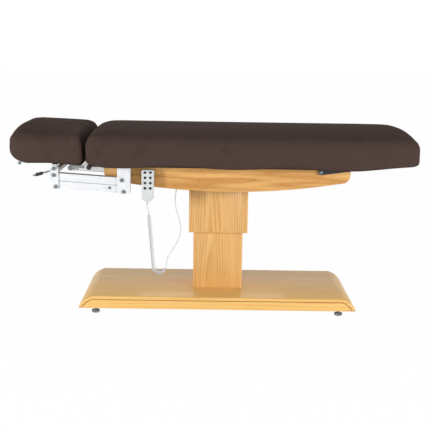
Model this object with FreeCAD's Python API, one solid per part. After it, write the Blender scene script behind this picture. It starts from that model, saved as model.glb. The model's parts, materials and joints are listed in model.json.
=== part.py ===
import FreeCAD, Part
import math
import os

from FreeCAD import Vector

# Spa treatment table, in millimetres: +X to the foot end, -Y to the near side, +Z up, floor at Z = 0

# Overall places along X
head_end_x = -923.0
foot_end_x = 921.0
pad_gap = 9.0
head_pad_length = 332.0
hip_x = 60.0
knee_x = 483.0
base_centre_x = 21.0

# Heights above the floor at the height shown
foot_height = 30.0
base_edge_thickness = 40.0
base_panel_thickness = 18.0
deck_underside_z = 698.0
deck_thickness = 10.0
hip_axis_drop = 9.0
knee_axis_drop = 14.0

# Mattress
pad_width = 750.0
pad_thickness = 169.0
pad_crown = 30.0
pad_top_radius = 54.0
pad_bottom_radius = 20.0
pad_side_draw = 9.0
pad_end_radius = 44.0
pad_joint_radius = 50.0
pad_end_roll = 8.0
pad_foot_reach = 300.0
pad_foot_draw = 84.0
pad_head_reach = 170.0
pad_head_draw = 78.0
pad_joint_reach = 60.0
pad_joint_draw = 20.0
pad_plan_power_share = 2.5
pad_end_foot_share = 0.45
pad_joint_foot_share = 0.15
pad_end_ease_share = 0.6
pad_end_steps = 6
pad_clearance = 0.3
back_bend_half = 118.0
leg_bend_half = 62.0
head_pad_lift = 10.0
head_pad_thickness = 163.0
head_rest_tilt_share = 0.042

# Base
base_length = 1300.0
base_depth = 550.0
base_end_run = 68.0
base_end_bulge_share = 0.62
base_panel_tip = 20.0
base_wall = 42.0
base_foot_diameter = 38.0
base_foot_neck = 14.0
base_foot_disc = 12.0
base_foot_inset_x = 78.0
base_foot_inset_y = 44.0
base_rail_width = 50.0
base_rail_height = 34.0
base_plate_length = 300.0

# Column
lower_cover_length = 236.0
lower_cover_depth = 176.0
upper_cover_length = 280.0
upper_cover_depth = 220.0
cover_wall = 17.0
cover_groove = 2.0
cover_groove_inset = 16.0
lower_cover_top_z = 440.0
upper_cover_bottom_z = 363.0
column_plate_thickness = 8.0
column_plate_margin = 12.0
outer_tube_size = 120.0
outer_tube_wall = 5.0
outer_tube_top_z = 430.0
inner_tube_wall = 4.0
inner_tube_bottom_z = 292.0
slide_clearance = 1.0
actuator_diameter = 54.0
actuator_top_z = 405.0
actuator_floor = 20.0
rod_diameter = 30.0
rod_bottom_z = 312.0
rod_clearance = 0.1
plate_bolt_diameter = 12.0
plate_bolt_head = 8.0
plate_bolt_inset = 13.0

# Wooden apron frame
apron_left_x = -505.0
apron_right_x = 620.0
apron_thickness = 28.0
apron_spread = 524.0
apron_middle_drop = 112.0
apron_end_drop = 60.0
apron_corner_radius = 40.0
end_rail_thickness = 28.0
end_rail_inset = 26.0
end_rail_height = 30.0
rail_zone = 30.0
top_plate_length = 340.0
top_plate_thickness = 10.0
bearer_width = 40.0
bearer_height = 28.0
bearer_spread = 240.0

# Decks and the back frame
deck_width = 600.0
back_deck_head_x = -555.0
back_deck_hip_gap = 10.0
seat_deck_hip_gap = 28.0
seat_deck_knee_gap = 20.0
leg_deck_knee_gap = 17.0
leg_deck_end_gap = 30.0
deck_corner_radius = 24.0
back_rail_width = 20.0
back_rail_height = 9.0
back_rail_spread = 400.0
rest_tube_diameter = 22.0
rest_tube_overhang = 5.0
rest_tube_wall = 2.0
rest_tube_gap = 13.0
rest_tube_drop = 2.0
rest_cap_depth = 5.0
hip_lug_thickness = 6.0
hip_lug_radius = 10.0
hip_lug_length = 68.0
hip_pin_diameter = 10.0
pin_clearance = 0.05
cheek_clearance = 1.0

# Leg hinge arms
leg_arm_thickness = 6.0
leg_arm_length = 163.0
leg_arm_radius = 13.0
leg_arm_tip = 5.0
leg_arm_gap = 4.0
leg_bolt_diameter = 10.0
leg_bolt_head_diameter = 19.0
leg_bolt_head = 6.0

# Headrest parallelogram
clevis_pivot_x = -418.0
clevis_pivot_z = 642.0
pivot_step_x = 8.0
pivot_step_z = 52.0
arm_reach_x = 306.0
arm_rise = 19.0
arm_width = 42.0
arm_depth = 32.0
arm_offset = 7.0
arm_wall = 4.0
arm_overhang = 12.0
cheek_thickness = 5.0
clevis_gap = 4.0
clevis_left_margin = 22.0
clevis_right_margin = 36.0
clevis_foot_margin = 14.0
carrier_left_margin = 22.0
carrier_right_margin = 20.0
carrier_foot_margin = 11.0
carrier_waist = 10.0
tilt_axis_rise = 30.0
tilt_ear_radius = 12.0
tilt_lug_width = 30.0
tilt_pin_diameter = 12.0
pivot_bolt_diameter = 10.0
pivot_bolt_head_diameter = 17.0
pivot_bolt_head = 5.0
carrier_tube_size = 20.0

# Head deck and its fittings
head_deck_thickness = 10.0
head_deck_margin = 14.0
head_deck_right_margin = 14.0
stop_bracket_offset_x = 72.0
stop_bracket_reach = 62.0
stop_bracket_lobe = 13.0
stop_bracket_bar = 12.0
stop_bracket_thickness = 6.0
stop_bolt_diameter = 15.0
stop_bolt_head = 4.0
peg_diameter = 16.0
peg_length = 12.0

# Release lever
lever_thickness = 5.0
lever_bar = 7.0
lever_drop = 24.0
lever_reach = 82.0
lever_grip_share = 0.42
lever_grip_diameter = 15.0
lever_tip_length = 12.0
lever_pin_diameter = 6.0
lever_gap = 0.5

# Handset, its holder, buttons and cord
handset_x = -303.5
handset_width = 58.0
handset_foot_width = 54.0
handset_bottom_z = 545.0
handset_height = 143.0
handset_depth = 26.0
handset_split_share = 0.5
handset_corner = 9.0
handset_edge = 4.0
handset_wall = 2.5
handset_standoff = 15.0
holder_thickness = 4.0
holder_width = 46.0
holder_height = 50.0
holder_stud_diameter = 14.0
button_diameter = 11.6
button_clearance = 0.3
button_pitch_x = 24.4
button_pitch_z = 24.0
button_top_drop = 12.0
button_proud = 2.0
button_rows = 4
button_length = 8.0
relief_length = 18.0
relief_top_diameter = 15.0
relief_foot_diameter = 9.0
relief_offset_x = -2.5
cord_diameter = 4.6
coil_radius = 6.4
coil_pitch = 8.0
coil_turns = 42
coil_ramp_turns = 2.0
coil_bend_radius = 29.0
cord_trim_share = 0.45
coil_dots_per_turn = 36
control_box_length = 190.0
control_box_depth = 110.0
control_box_height = 50.0
control_box_x = -225.0
gland_diameter = 16.0

# One overrun serves every through cut
overrun = 5.0

# Heights and faces worked out from the sizes above
base_bottom_z = foot_height
base_split_z = base_bottom_z + base_edge_thickness
base_top_z = base_split_z + base_panel_thickness
deck_top_z = deck_underside_z + deck_thickness
pad_bottom_z = deck_top_z
rest_tube_x = back_deck_head_x - rest_tube_gap
rest_tube_z = deck_underside_z - rest_tube_drop
rest_tube_length = deck_width + 2 * rest_tube_overhang
hip_z = deck_underside_z - hip_axis_drop
knee_z = deck_underside_z - knee_axis_drop
apron_face_y = -apron_spread / 2
apron_inner_y = apron_face_y + apron_thickness
rail_top_z = deck_underside_z - rail_zone
head_pad_right_x = head_end_x + head_pad_length
main_pad_left_x = head_pad_right_x + pad_gap
head_deck_top_z = pad_bottom_z + head_pad_lift
head_deck_bottom_z = head_deck_top_z - head_deck_thickness
cheek_inner_y = apron_face_y - clevis_gap
cheek_outer_y = cheek_inner_y - arm_width - 2 * cheek_thickness - 2 * cheek_clearance
carrier_pivot_x = clevis_pivot_x - arm_reach_x
carrier_pivot_z = clevis_pivot_z + arm_rise
tilt_z = carrier_pivot_z + tilt_axis_rise
tilt_x = carrier_pivot_x
sides = (-1, 1)


def block(x0, x1, y0, y1, z0, z1):
    return Part.makeBox(x1 - x0, y1 - y0, z1 - z0, Vector(x0, y0, z0))


def rod(start, along, diameter, length):
    return Part.makeCylinder(diameter / 2, length, start, along)


def y_rod(x, z, diameter, y0, y1):
    return rod(Vector(x, y0, z), Vector(0, 1, 0), diameter, y1 - y0)


def z_rod(x, y, diameter, z0, z1):
    return rod(Vector(x, y, z0), Vector(0, 0, 1), diameter, z1 - z0)


def domed(head, seat_y, height):
    rounds = [e for e in head.Edges if len(e.Vertexes) == 1]
    return head.makeFillet(height / 3, [e for e in rounds if e.CenterOfMass.y < seat_y - height / 2])


def plate_xz(edges, y0, y1):
    face = Part.Face(Part.Wire(Part.__sortEdges__(edges)))
    face.translate(Vector(0, y0, 0))
    return face.extrude(Vector(0, y1 - y0, 0))


def loop_xz(points):
    corners = [Vector(x, 0, z) for x, z in points]
    return [Part.LineSegment(a, b).toShape() for a, b in zip(corners, corners[1:] + corners[:1])]


def tube_box(length, depth, z0, z1, wall):
    outer = block(-length / 2, length / 2, -depth / 2, depth / 2, z0, z1)
    inner_x = length / 2 - wall
    inner_y = depth / 2 - wall
    return outer.cut(block(-inner_x, inner_x, -inner_y, inner_y, z0 - overrun, z1 + overrun))


def mirrored(shape):
    return shape.mirror(Vector(0, 0, 0), Vector(0, 1, 0))


def both_sides(shape):
    return Part.makeCompound([shape, mirrored(shape)])


def save(name, shape):
    shape.exportStep("parts/" + name + ".step")


# Base: a top layer bent down over the ends of an edge frame, both in the same arched profile
def base_profile(half, run, top_z):
    height = top_z - base_bottom_z
    edges = []
    for side in sides:
        tip = Vector(side * half, 0, base_bottom_z)
        shoulder = Vector(side * (half - run), 0, top_z)
        middle = Vector(side * (half - run * (1 - base_end_bulge_share)), 0,
                        base_bottom_z + height * base_end_bulge_share)
        edges.append(Part.Arc(tip, middle, shoulder).toShape())
    for z, reach in ((base_bottom_z, half), (top_z, half - run)):
        edges.append(Part.LineSegment(Vector(-reach, 0, z), Vector(reach, 0, z)).toShape())
    return plate_xz(edges, -base_depth / 2, base_depth / 2)


def make_base():
    centre = Vector(base_centre_x, 0, 0)
    half = base_length / 2
    inner = base_profile(half - base_panel_tip, base_end_run - base_panel_tip, base_split_z)
    panel = base_profile(half, base_end_run, base_top_z).cut(inner)
    pocket_x = half - base_end_run - base_wall
    pocket_y = base_depth / 2 - base_wall
    edge = inner.cut(block(-pocket_x, pocket_x, -pocket_y, pocket_y, 0, base_split_z + overrun))

    rail_y = base_depth / 2 - base_foot_inset_y - base_wall
    rail_z0 = base_split_z - base_rail_height
    rails = [block(-pocket_x, pocket_x, -base_rail_width / 2, base_rail_width / 2, rail_z0, base_split_z)]
    rails[0].translate(Vector(0, rail_y - base_rail_width / 2, 0))
    rails.append(mirrored(rails[0]))
    bridge = block(-base_plate_length / 2, base_plate_length / 2, -rail_y, rail_y, rail_z0, base_split_z)
    frame = bridge.fuse(rails).removeSplitter()

    feet = []
    foot_x = base_length / 2 - base_foot_inset_x
    foot_y = base_depth / 2 - base_foot_inset_y
    for sx in sides:
        for sy in sides:
            disc = z_rod(sx * foot_x, sy * foot_y, base_foot_diameter, 0, base_foot_disc)
            disc = disc.makeFillet(base_foot_disc / 4, [e for e in disc.Edges if len(e.Vertexes) == 1])
            neck = z_rod(sx * foot_x, sy * foot_y, base_foot_neck, base_foot_disc / 2, foot_height)
            feet.append(disc.fuse(neck))
    for name, shape in (("base_panel", panel), ("base_edge_frame", edge), ("base_steel_frame", frame),
                        ("base_feet", Part.makeCompound(feet))):
        shape.translate(centre)
        save(name, shape)


# Column: wooden covers in two stages, square lift tubes and a linear actuator
def wooden_cover(length, depth, z0, z1):
    cover = tube_box(length, depth, z0, z1, cover_wall)
    for sx in sides:
        for sy in sides:
            x = sx * (length / 2 - cover_groove_inset)
            y = sy * depth / 2
            cover = cover.cut(block(x - cover_groove / 2, x + cover_groove / 2,
                                    y - cover_groove / 2, y + cover_groove / 2, z0 - overrun, z1 + overrun))
    return cover


def make_column():
    centre = Vector(base_centre_x, 0, 0)
    lift_top_z = rail_top_z - bearer_height
    plate_top_z = base_top_z + column_plate_thickness
    plate_x = lower_cover_length / 2 - cover_wall - column_plate_margin
    plate_y = lower_cover_depth / 2 - cover_wall - slide_clearance
    inner_size = outer_tube_size - 2 * outer_tube_wall - 2 * slide_clearance
    bore = rod_diameter + 2 * rod_clearance
    plate = block(-plate_x, plate_x, -plate_y, plate_y, base_top_z, plate_top_z)
    bolts = []
    for sx in sides:
        for sy in sides:
            x = sx * (plate_x - plate_bolt_inset)
            y = sy * (plate_y - plate_bolt_inset)
            hexagon = Part.makePolygon([Vector(x + plate_bolt_diameter * math.cos(math.pi * k / 3),
                                               y + plate_bolt_diameter * math.sin(math.pi * k / 3),
                                               plate_top_z) for k in range(7)])
            bolts.append(Part.Face(hexagon).extrude(Vector(0, 0, plate_bolt_head)))
    outer_tube = tube_box(outer_tube_size, outer_tube_size, plate_top_z, outer_tube_top_z, outer_tube_wall)
    inner_tube = tube_box(inner_size, inner_size, inner_tube_bottom_z, lift_top_z - top_plate_thickness,
                          inner_tube_wall)
    body = z_rod(0, 0, actuator_diameter, plate_top_z, actuator_top_z)
    body = body.cut(z_rod(0, 0, bore, plate_top_z + actuator_floor, actuator_top_z + overrun))
    push_rod = z_rod(0, 0, rod_diameter, rod_bottom_z, lift_top_z - top_plate_thickness)
    lower = wooden_cover(lower_cover_length, lower_cover_depth, base_top_z, lower_cover_top_z)
    upper = wooden_cover(upper_cover_length, upper_cover_depth, upper_cover_bottom_z,
                         lift_top_z - top_plate_thickness)
    top = block(-top_plate_length / 2, top_plate_length / 2, -upper_cover_depth / 2, upper_cover_depth / 2,
                lift_top_z - top_plate_thickness, lift_top_z)
    bearers = []
    for side in sides:
        x = side * bearer_spread / 2
        bearers.append(block(x - bearer_width / 2, x + bearer_width / 2, apron_inner_y, -apron_inner_y,
                             lift_top_z, rail_top_z))
    for name, shape in (("column_plate_bolts", Part.makeCompound(bolts)),
                        ("column_outer_tube", outer_tube.fuse(plate).removeSplitter()),
                        ("column_inner_tube", inner_tube.fuse(top).removeSplitter()),
                        ("lift_actuator_body", body), ("lift_actuator_rod", push_rod),
                        ("column_lower_cover", lower), ("column_upper_cover", upper),
                        ("cross_bearers", Part.makeCompound(bearers))):
        shape.translate(centre)
        save(name, shape)


# Apron frame: two boat-shaped boards and the rails between their ends
def apron_lower_edge(x):
    middle = (apron_left_x + apron_right_x) / 2
    half = (apron_right_x - apron_left_x) / 2
    rise = (apron_middle_drop - apron_end_drop) * ((x - middle) / half) ** 2
    return deck_underside_z - apron_middle_drop + rise


def make_aprons():
    r = apron_corner_radius
    diag = r * (1 - math.sqrt(0.5))
    middle = (apron_left_x + apron_right_x) / 2
    low = {}
    edges = []
    for end, side in ((apron_left_x, 1), (apron_right_x, -1)):
        z = apron_lower_edge(end + side * r)
        low[side] = Vector(end + side * r, 0, z)
        upright = Vector(end, 0, z + r)
        edges.append(Part.Arc(low[side], Vector(end + side * diag, 0, z + diag), upright).toShape())
        edges.append(Part.LineSegment(upright, Vector(end, 0, deck_underside_z)).toShape())
    edges.append(Part.Arc(low[1], Vector(middle, 0, apron_lower_edge(middle)), low[-1]).toShape())
    edges.append(Part.LineSegment(Vector(apron_left_x, 0, deck_underside_z),
                                  Vector(apron_right_x, 0, deck_underside_z)).toShape())
    near = plate_xz(edges, apron_face_y, apron_inner_y)
    save("apron_near", near)
    save("apron_far", mirrored(near))
    rails = []
    for x in (apron_left_x + end_rail_inset, apron_right_x - end_rail_inset - end_rail_thickness):
        rails.append(block(x, x + end_rail_thickness, apron_inner_y, -apron_inner_y,
                           rail_top_z - end_rail_height, rail_top_z))
    save("apron_end_rails", Part.makeCompound(rails))


# Decks that carry the mattress, and the back section's steel frame
def deck_board(x0, x1, width, z0, z1, round_end):
    board = block(x0, x1, -width / 2, width / 2, z0, z1)
    edge_x = x0 if round_end < 0 else x1
    uprights = []
    for edge in board.Edges:
        ends = [v.Point for v in edge.Vertexes]
        at_end = all(abs(p.x - edge_x) < pin_clearance for p in ends)
        if at_end and abs(ends[0].z - ends[1].z) > pin_clearance:
            uprights.append(edge)
    return board.makeFillet(deck_corner_radius, uprights) if round_end else board


def make_decks():
    z0, z1 = deck_underside_z, deck_top_z
    back = deck_board(back_deck_head_x, hip_x - back_deck_hip_gap, deck_width, z0, z1, 0)
    seat = deck_board(hip_x + seat_deck_hip_gap, knee_x - seat_deck_knee_gap, deck_width, z0, z1, 0)
    leg = deck_board(knee_x + leg_deck_knee_gap, foot_end_x - leg_deck_end_gap, deck_width, z0, z1, 1)
    save("back_deck", back)
    save("seat_deck", seat)
    save("leg_deck", leg)

    rail_y = -back_rail_spread / 2
    eye = 2 * hip_axis_drop
    frame = y_rod(rest_tube_x, rest_tube_z, rest_tube_diameter, -rest_tube_length / 2, rest_tube_length / 2)
    bore = rest_tube_diameter - 2 * rest_tube_wall
    for side in sides:
        y = side * rail_y
        rail = block(rest_tube_x, hip_x, y - back_rail_width / 2, y + back_rail_width / 2,
                     deck_underside_z - back_rail_height, deck_underside_z)
        eye_rod = y_rod(hip_x, hip_z, eye, y - back_rail_width / 2, y + back_rail_width / 2)
        frame = frame.fuse([rail, eye_rod])
        hole = hip_pin_diameter + 2 * pin_clearance
        frame = frame.cut(y_rod(hip_x, hip_z, hole, y - back_rail_width, y + back_rail_width))
    frame = frame.cut(y_rod(rest_tube_x, rest_tube_z, bore, -rest_tube_length, rest_tube_length))
    save("back_frame", frame.removeSplitter())

    cap_end = rest_tube_length / 2
    cap = y_rod(rest_tube_x, rest_tube_z, rest_tube_diameter, -cap_end - rest_cap_depth, -cap_end)
    plug = y_rod(rest_tube_x, rest_tube_z, bore, -cap_end, -cap_end + 2 * rest_cap_depth)
    save("rest_tube_caps", both_sides(cap.fuse(plug)))

    lugs = []
    pins = []
    for side in sides:
        for cheek in sides:
            y = side * rail_y + cheek * (back_rail_width / 2 + cheek_clearance + hip_lug_thickness / 2)
            y0, y1 = y - hip_lug_thickness / 2, y + hip_lug_thickness / 2
            lug = y_rod(hip_x, hip_z, 2 * hip_lug_radius, y0, y1)
            tail_x = hip_x + hip_lug_length
            hole = hip_pin_diameter + 2 * pin_clearance
            lug = lug.common(block(hip_x - 2 * hip_lug_radius, tail_x, y0, y1, 0, deck_underside_z))
            lug = lug.fuse(block(hip_x, tail_x, y0, y1, hip_z - hip_lug_radius, deck_underside_z))
            lug = lug.cut(y_rod(hip_x, hip_z, hole, y0 - overrun, y1 + overrun))
            lugs.append(lug.removeSplitter())
        reach = back_rail_width / 2 + cheek_clearance + hip_lug_thickness
        pins.append(y_rod(hip_x, hip_z, hip_pin_diameter, side * rail_y - reach, side * rail_y + reach))
    save("hip_hinge_lugs", Part.makeCompound(lugs))
    save("hip_hinge_pins", Part.makeCompound(pins))


# Leg hinge arms outside the apron, each on a bright shoulder bolt
def make_leg_hinge():
    y1 = apron_face_y - leg_arm_gap
    y0 = y1 - leg_arm_thickness
    lobe = y_rod(knee_x, knee_z, 2 * leg_arm_radius, y0, y1)
    start_x = knee_x + leg_deck_knee_gap
    tip_x = knee_x + leg_arm_length
    bar = plate_xz(loop_xz([(knee_x, knee_z - leg_arm_radius), (tip_x, deck_underside_z - leg_arm_tip),
                            (tip_x, deck_underside_z), (knee_x, deck_underside_z)]), y0, y1)
    arm = lobe.fuse(bar).removeSplitter()
    hole = leg_bolt_diameter + 2 * pin_clearance
    arm = arm.cut(y_rod(knee_x, knee_z, hole, y0 - overrun, y1 + overrun))
    flange = block(start_x, tip_x, y1 - leg_arm_thickness, y1 + leg_arm_gap / 2,
                   deck_underside_z - leg_arm_tip / 2, deck_underside_z)
    save("leg_hinge_arms", both_sides(arm.fuse(flange).removeSplitter()))

    shank = y_rod(knee_x, knee_z, leg_bolt_diameter, y0, apron_face_y)
    head = y_rod(knee_x, knee_z, leg_bolt_head_diameter, y0 - leg_bolt_head, y0)
    head = domed(head, y0, leg_bolt_head)
    save("leg_hinge_bolts", both_sides(head.fuse(shank).removeSplitter()))


# Headrest mechanism: clevis under the back deck, two parallel arms, carrier with the tilt axis
def cheek_pair(outline_edges, round_radius, round_below_z):
    cheeks = []
    for y0 in (cheek_outer_y, cheek_inner_y - cheek_thickness):
        plate = plate_xz(outline_edges(), y0, y0 + cheek_thickness)
        across = [e for e in plate.Edges if abs(e.Vertexes[0].Y - e.Vertexes[1].Y) > cheek_thickness / 2]
        corners = [e for e in across if e.CenterOfMass.z < round_below_z]
        cheeks.append(plate.makeFillet(round_radius, corners))
    return cheeks


def pivot_bolt(x, z, diameter, head_diameter):
    shank = y_rod(x, z, diameter, cheek_outer_y, cheek_inner_y)
    head = y_rod(x, z, head_diameter, cheek_outer_y - pivot_bolt_head, cheek_outer_y)
    return domed(head, cheek_outer_y, pivot_bolt_head).fuse(shank).removeSplitter()


def pivot_hole(x, z, diameter):
    return y_rod(x, z, diameter + 2 * pin_clearance, cheek_outer_y - overrun, cheek_inner_y + overrun)


def lower_pivot(x, z):
    return x + pivot_step_x, z - pivot_step_z


def headrest_arm(x, z, offset):
    length = math.hypot(arm_reach_x, arm_rise)
    low = offset - arm_depth / 2
    y0 = cheek_outer_y + cheek_thickness + cheek_clearance
    y1 = y0 + arm_width
    solid = block(-length - arm_overhang, arm_overhang, y0, y1, low, low + arm_depth)
    corners = [e for e in solid.Edges if abs(e.Vertexes[0].Y - e.Vertexes[1].Y) > arm_width / 2]
    solid = solid.makeFillet(arm_overhang / 2, corners)
    hollow = block(-length - 2 * arm_overhang, 2 * arm_overhang, y0 + arm_wall, y1 - arm_wall,
                   low + arm_wall, low + arm_depth - arm_wall)
    solid = solid.cut(hollow)
    for u in (0, -length):
        solid = solid.cut(y_rod(u, 0, pivot_bolt_diameter + 2 * pin_clearance, y0 - overrun, y1 + overrun))
    solid.rotate(Vector(0, 0, 0), Vector(0, 1, 0), math.degrees(math.atan2(arm_rise, arm_reach_x)))
    solid.translate(Vector(x, 0, z))
    return solid


def clevis_outline():
    low_z = clevis_pivot_z - pivot_step_z
    left = clevis_pivot_x - clevis_left_margin
    right = clevis_pivot_x + clevis_right_margin
    foot = low_z - clevis_foot_margin
    return loop_xz([(left, foot), (right, foot), (right, deck_underside_z), (left, deck_underside_z)])


def carrier_outline():
    low_z = carrier_pivot_z - pivot_step_z
    foot = low_z - carrier_foot_margin
    left = carrier_pivot_x - carrier_left_margin
    right = carrier_pivot_x + carrier_right_margin
    return loop_xz([(left + carrier_waist, foot), (right, foot), (right, tilt_z), (left, tilt_z)])


def make_headrest_links():
    pivots = [(clevis_pivot_x, clevis_pivot_z), lower_pivot(clevis_pivot_x, clevis_pivot_z)]
    low_z = pivots[1][1]
    plates = cheek_pair(clevis_outline, clevis_foot_margin / 2, low_z)
    web = block(clevis_pivot_x - clevis_left_margin, clevis_pivot_x + clevis_right_margin, cheek_outer_y,
                cheek_inner_y, deck_underside_z - cheek_thickness, deck_underside_z)
    clevis = web.fuse(plates).removeSplitter()
    for x, z in pivots:
        clevis = clevis.cut(pivot_hole(x, z, pivot_bolt_diameter))
    save("headrest_clevises", both_sides(clevis))
    bolts = [pivot_bolt(x, z, pivot_bolt_diameter, pivot_bolt_head_diameter) for x, z in pivots]
    save("clevis_pivot_bolts", both_sides(Part.makeCompound(bolts)))
    save("headrest_upper_arms", both_sides(headrest_arm(*pivots[0], -arm_offset)))
    save("headrest_lower_arms", both_sides(headrest_arm(*pivots[1], arm_offset)))


def make_carrier():
    pivots = [(carrier_pivot_x, carrier_pivot_z), lower_pivot(carrier_pivot_x, carrier_pivot_z)]
    plates = cheek_pair(carrier_outline, carrier_foot_margin / 2, pivots[1][1])
    lever_x = tilt_x - carrier_left_margin + lever_pin_diameter
    lever_z = tilt_z - tilt_ear_radius
    carrier = []
    for plate in plates:
        y0 = plate.BoundBox.YMin
        disc = y_rod(tilt_x, tilt_z, 2 * tilt_ear_radius, y0, y0 + cheek_thickness)
        ear = plate.fuse(disc).removeSplitter()
        for x, z in pivots:
            ear = ear.cut(pivot_hole(x, z, pivot_bolt_diameter))
        ear = ear.cut(pivot_hole(tilt_x, tilt_z, tilt_pin_diameter))
        carrier.append(ear)
    lever_reach_y = cheek_outer_y + cheek_thickness + 2 * lever_gap + lever_thickness
    lever_pin = y_rod(lever_x, lever_z, lever_pin_diameter, cheek_outer_y, lever_reach_y)
    hole = lever_pin_diameter + 2 * pin_clearance
    carrier[0] = carrier[0].cut(y_rod(lever_x, lever_z, hole, cheek_outer_y - overrun, lever_reach_y))
    far = [mirrored(plate) for plate in carrier]
    tube = block(tilt_x, tilt_x + carrier_tube_size, cheek_inner_y, -cheek_inner_y,
                 tilt_z - carrier_tube_size - cheek_clearance, tilt_z - cheek_clearance)
    tube = tube.cut(tilt_pin_path())
    inner = tube.fuse([carrier[1], far[1]]).removeSplitter()
    save("headrest_carrier", inner)
    save("carrier_outer_plates", Part.makeCompound([carrier[0], far[0]]))
    bolts = [pivot_bolt(x, z, pivot_bolt_diameter, pivot_bolt_head_diameter) for x, z in pivots]
    bolts.append(pivot_bolt(tilt_x, tilt_z, tilt_pin_diameter, tilt_pin_diameter + pivot_bolt_head))
    both = both_sides(Part.makeCompound(bolts))
    save("carrier_pivot_bolts", Part.makeCompound(both.Solids + [lever_pin]))
    make_release_lever(lever_x, lever_z)


def tilt_pin_path():
    return y_rod(tilt_x, tilt_z, tilt_pin_diameter + 2 * pin_clearance, cheek_inner_y - overrun,
                 cheek_inner_y + overrun)


# Release lever: a flat bar with a rubber grip and a bare metal tip
def make_release_lever(x, z):
    y0 = cheek_outer_y + cheek_thickness + lever_gap
    y1 = y0 + lever_thickness
    middle_y = (y0 + y1) / 2
    bar = block(-lever_reach, 0, y0, y1, -lever_bar / 2, lever_bar / 2)
    bar = bar.fuse(y_rod(0, 0, 2 * lever_bar, y0, y1)).removeSplitter()
    bar = bar.cut(y_rod(0, 0, lever_pin_diameter + 2 * pin_clearance, y0 - overrun, y1 + overrun))
    grip_length = lever_reach * lever_grip_share
    grip_x = -lever_reach + lever_tip_length
    grip = rod(Vector(grip_x, middle_y, 0), Vector(1, 0, 0), lever_grip_diameter, grip_length)
    grip = grip.makeFillet(lever_grip_diameter / 4, [e for e in grip.Edges if len(e.Vertexes) == 1])
    grip = grip.cut(bar)
    slope = -math.degrees(math.atan2(lever_drop, lever_reach))
    for name, shape in (("release_lever", bar), ("release_lever_grip", grip)):
        shape.rotate(Vector(0, 0, 0), Vector(0, 1, 0), slope)
        shape.translate(Vector(x, 0, z))
        save(name, shape)


# Head deck with its hinge lugs, stop brackets and pegs, all at the tilt shown
def save_tilted(name, shape):
    shape.rotate(Vector(tilt_x, 0, tilt_z), Vector(0, 1, 0), math.degrees(math.atan(head_rest_tilt_share)))
    save(name, shape)


def make_head_deck():
    deck_left = head_end_x + head_deck_margin
    deck_right = head_pad_right_x - head_deck_right_margin
    deck = deck_board(deck_left, deck_right, deck_width, head_deck_bottom_z, head_deck_top_z, -1)
    save_tilted("head_deck", deck)
    middle_y = (cheek_outer_y + cheek_inner_y) / 2
    y0, y1 = middle_y - tilt_lug_width / 2, middle_y + tilt_lug_width / 2
    lug = y_rod(tilt_x, tilt_z, 2 * tilt_ear_radius, y0, y1)
    lug = lug.fuse(block(tilt_x - tilt_ear_radius, tilt_x + tilt_ear_radius, y0, y1,
                         tilt_z, head_deck_bottom_z))
    lug = lug.cut(y_rod(tilt_x, tilt_z, tilt_pin_diameter + 2 * pin_clearance, y0 - overrun, y1 + overrun))
    save_tilted("head_tilt_lugs", both_sides(lug.removeSplitter()))

    lobe_x = tilt_x + stop_bracket_offset_x
    lobe_z = head_deck_bottom_z - stop_bracket_lobe
    b0 = -deck_width / 2
    b1 = b0 + stop_bracket_thickness
    bracket = y_rod(lobe_x, lobe_z, 2 * stop_bracket_lobe, b0, b1)
    bracket = bracket.fuse(block(lobe_x, lobe_x + stop_bracket_reach, b0, b1,
                                 head_deck_bottom_z - stop_bracket_bar, head_deck_bottom_z)).removeSplitter()
    save_tilted("head_stop_brackets", both_sides(bracket))
    bolt = y_rod(lobe_x, lobe_z, stop_bolt_diameter, b0 - stop_bolt_head, b0)
    bolt = domed(bolt, b0, stop_bolt_head)
    peg = z_rod(deck_left + deck_corner_radius, -deck_width / 2 + peg_diameter, peg_diameter,
                head_deck_bottom_z - peg_length, head_deck_bottom_z)
    save_tilted("head_deck_fasteners", both_sides(Part.makeCompound([bolt, peg])))


# Handset: two moulded shells, eight push buttons, holder, strain relief
handset_back_y = apron_face_y - handset_standoff
handset_front_y = handset_back_y - handset_depth
handset_split_y = handset_front_y + handset_depth * handset_split_share
handset_top_z = handset_bottom_z + handset_height


def handset_block(inset, y0, y1):
    top = handset_width / 2 - inset
    foot = handset_foot_width / 2 - inset
    z0, z1 = handset_bottom_z + inset, handset_top_z - inset
    outline = loop_xz([(handset_x - foot, z0), (handset_x + foot, z0),
                       (handset_x + top, z1), (handset_x - top, z1)])
    solid = plate_xz(outline, y0 + inset, y1 - inset)
    corners = [e for e in solid.Edges if abs(e.Vertexes[0].Y - e.Vertexes[1].Y) > (y1 - y0) / 4]
    return solid.makeFillet(handset_corner - inset, corners)


def button_places():
    places = []
    for row in range(button_rows):
        for column in sides:
            places.append((handset_x + column * button_pitch_x / 2,
                           handset_top_z - button_top_drop - row * button_pitch_z))
    return places


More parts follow.
